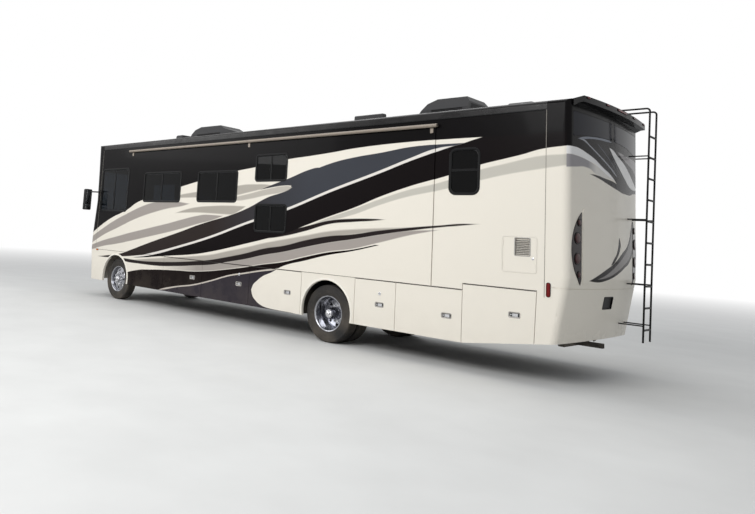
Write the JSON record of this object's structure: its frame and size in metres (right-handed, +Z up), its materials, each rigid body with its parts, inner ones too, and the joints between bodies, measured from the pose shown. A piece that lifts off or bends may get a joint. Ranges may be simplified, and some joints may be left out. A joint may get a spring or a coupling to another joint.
{
  "type": "motorhome",
  "caption": "Full-length coach motorhome with a slide-out room, hinged luggage doors, steered front wheels and twin rear wheels, rear ladder and roof units.",
  "frame": {"origin": "on the ground, under the centre of the overall box", "axes": "+X forwards, +Y to the driver's left, +Z up"},
  "size_m": [11.9306, 3.18, 4.11],
  "materials": {
    "body_paint": "gloss clear coat",
    "clear_glass": "dark tint",
    "lamp_lens": "clear",
    "red_lens": "gloss",
    "chassis_black": "satin",
    "cast_metal": "rough",
    "black_plastic": "matt",
    "steel_pipe": "dull",
    "tyre_rubber": "matt",
    "wheel_bright": "polished",
    "deck_board": "matt",
    "shroud_plastic": "satin",
    "roller_alloy": "satin",
    "seat_leather": "soft"
  },
  "bodies": {
    "coach": {"chassis_frame": "chassis_black", "floor_deck": "deck_board", "wall_left": "body_paint", "wall_right": "body_paint", "roof": "body_paint", "front_cap": "body_paint", "windshield": "clear_glass", "headlamps": "lamp_lens", "grille": "black_plastic", "rear_cap": "body_paint", "tail_lamps": "red_lens", "side_glass": "clear_glass", "skirt_panels": "body_paint", "storage_bays": "deck_board", "engine": "cast_metal", "tanks": "black_plastic", "exhaust": "steel_pipe", "rear_axle": "chassis_black", "driveshaft": "chassis_black", "front_axle": "chassis_black", "springs": "chassis_black", "entry_step": "chassis_black", "ac_units": "shroud_plastic", "roof_fittings": "shroud_plastic", "awning": "roller_alloy", "mirrors": "black_plastic", "ladder": "chassis_black", "hitch": "chassis_black", "jacks": "chassis_black", "dashboard": "black_plastic", "steering_wheel": "black_plastic", "seats": "seat_leather"},
    "slide_room": {"slide_wall": "body_paint", "slide_glass": "clear_glass", "slide_box": "deck_board", "slide_topper": "roller_alloy"},
    "entry_door": {"entry_door": "body_paint", "entry_glass": "clear_glass"},
    "knuckle_left": {"knuckle_left": "chassis_black"},
    "knuckle_right": {"knuckle_right": "chassis_black"},
    "front_wheel_left": {"front_tyre_left": "tyre_rubber", "front_rim_left": "wheel_bright"},
    "front_wheel_right": {"front_tyre_right": "tyre_rubber", "front_rim_right": "wheel_bright"},
    "rear_wheels_left": {"rear_tyres_left": "tyre_rubber", "rear_rims_left": "wheel_bright"},
    "rear_wheels_right": {"rear_tyres_right": "tyre_rubber", "rear_rims_right": "wheel_bright"},
    "left_door_1": {"left_door_1": "body_paint"},
    "left_door_2": {"left_door_2": "body_paint"},
    "left_door_3": {"left_door_3": "body_paint"},
    "left_door_4": {"left_door_4": "body_paint"},
    "left_door_5": {"left_door_5": "body_paint"},
    "left_door_6": {"left_door_6": "body_paint"},
    "right_door_1": {"right_door_1": "body_paint"},
    "right_door_2": {"right_door_2": "body_paint"},
    "right_door_3": {"right_door_3": "body_paint"},
    "right_door_4": {"right_door_4": "body_paint"},
    "right_door_5": {"right_door_5": "body_paint"}
  },
  "joints": [
    {"name": "steer_left", "type": "hinge", "parent": "coach", "child": "knuckle_left", "pos_m": [4.666, 0.905, 0.47], "axis": [0, 0, 1], "range_deg": [-40, 40]},
    {"name": "steer_right", "type": "hinge", "parent": "coach", "child": "knuckle_right", "pos_m": [4.666, -0.905, 0.47], "axis": [0, 0, 1], "range_deg": [-40, 40]},
    {"name": "front_wheel_left_spin", "type": "hinge", "parent": "knuckle_left", "child": "front_wheel_left", "pos_m": [4.666, 1.075, 0.47], "axis": [0, 1, 0], "continuous": true},
    {"name": "rear_wheels_left_spin", "type": "hinge", "parent": "coach", "child": "rear_wheels_left", "pos_m": [-1.734, 0.955, 0.47], "axis": [0, 1, 0], "continuous": true},
    {"name": "front_wheel_right_spin", "type": "hinge", "parent": "knuckle_right", "child": "front_wheel_right", "pos_m": [4.666, -1.075, 0.47], "axis": [0, 1, 0], "continuous": true},
    {"name": "rear_wheels_right_spin", "type": "hinge", "parent": "coach", "child": "rear_wheels_right", "pos_m": [-1.734, -0.955, 0.47], "axis": [0, 1, 0], "continuous": true},
    {"name": "slide_out", "type": "slide", "parent": "coach", "child": "slide_room", "axis": [0, 1, 0], "range_m": [0, 0.56]},
    {"name": "entry_door_hinge", "type": "hinge", "parent": "coach", "child": "entry_door", "pos_m": [4.036, -1.2825, 1.7], "axis": [0, 0, 1], "range_deg": [0, 90]},
    {"name": "left_door_1_hinge", "type": "hinge", "parent": "coach", "child": "left_door_1", "pos_m": [-4.173, 1.2825, 0.74], "axis": [0, 0, -1], "range_deg": [0, 90]},
    {"name": "left_door_2_hinge", "type": "hinge", "parent": "coach", "child": "left_door_2", "pos_m": [-3.083, 1.2825, 0.74], "axis": [0, 0, -1], "range_deg": [0, 90]},
    {"name": "left_door_3_hinge", "type": "hinge", "parent": "coach", "child": "left_door_3", "pos_m": [-2.318, 1.2825, 0.74], "axis": [0, 0, -1], "range_deg": [0, 90]},
    {"name": "left_door_4_hinge", "type": "hinge", "parent": "coach", "child": "left_door_4", "pos_m": [0.112, 1.2825, 0.74], "axis": [0, 0, -1], "range_deg": [0, 90]},
    {"name": "left_door_5_hinge", "type": "hinge", "parent": "coach", "child": "left_door_5", "pos_m": [1.482, 1.2825, 0.74], "axis": [0, 0, -1], "range_deg": [0, 90]},
    {"name": "left_door_6_hinge", "type": "hinge", "parent": "coach", "child": "left_door_6", "pos_m": [2.782, 1.2825, 0.74], "axis": [0, 0, -1], "range_deg": [0, 90]},
    {"name": "right_door_1_hinge", "type": "hinge", "parent": "coach", "child": "right_door_1", "pos_m": [-4.173, -1.2825, 0.74], "axis": [0, 0, 1], "range_deg": [0, 90]},
    {"name": "right_door_2_hinge", "type": "hinge", "parent": "coach", "child": "right_door_2", "pos_m": [-2.318, -1.2825, 0.74], "axis": [0, 0, 1], "range_deg": [0, 90]},
    {"name": "right_door_3_hinge", "type": "hinge", "parent": "coach", "child": "right_door_3", "pos_m": [0.312, -1.2825, 0.74], "axis": [0, 0, 1], "range_deg": [0, 90]},
    {"name": "right_door_4_hinge", "type": "hinge", "parent": "coach", "child": "right_door_4", "pos_m": [1.762, -1.2825, 0.74], "axis": [0, 0, 1], "range_deg": [0, 90]},
    {"name": "right_door_5_hinge", "type": "hinge", "parent": "coach", "child": "right_door_5", "pos_m": [3.212, -1.2825, 0.74], "axis": [0, 0, 1], "range_deg": [0, 90]}
  ],
  "couplings": [
    {"joint": "steer_right", "follows": "steer_left", "ratio": 1}
  ]
}
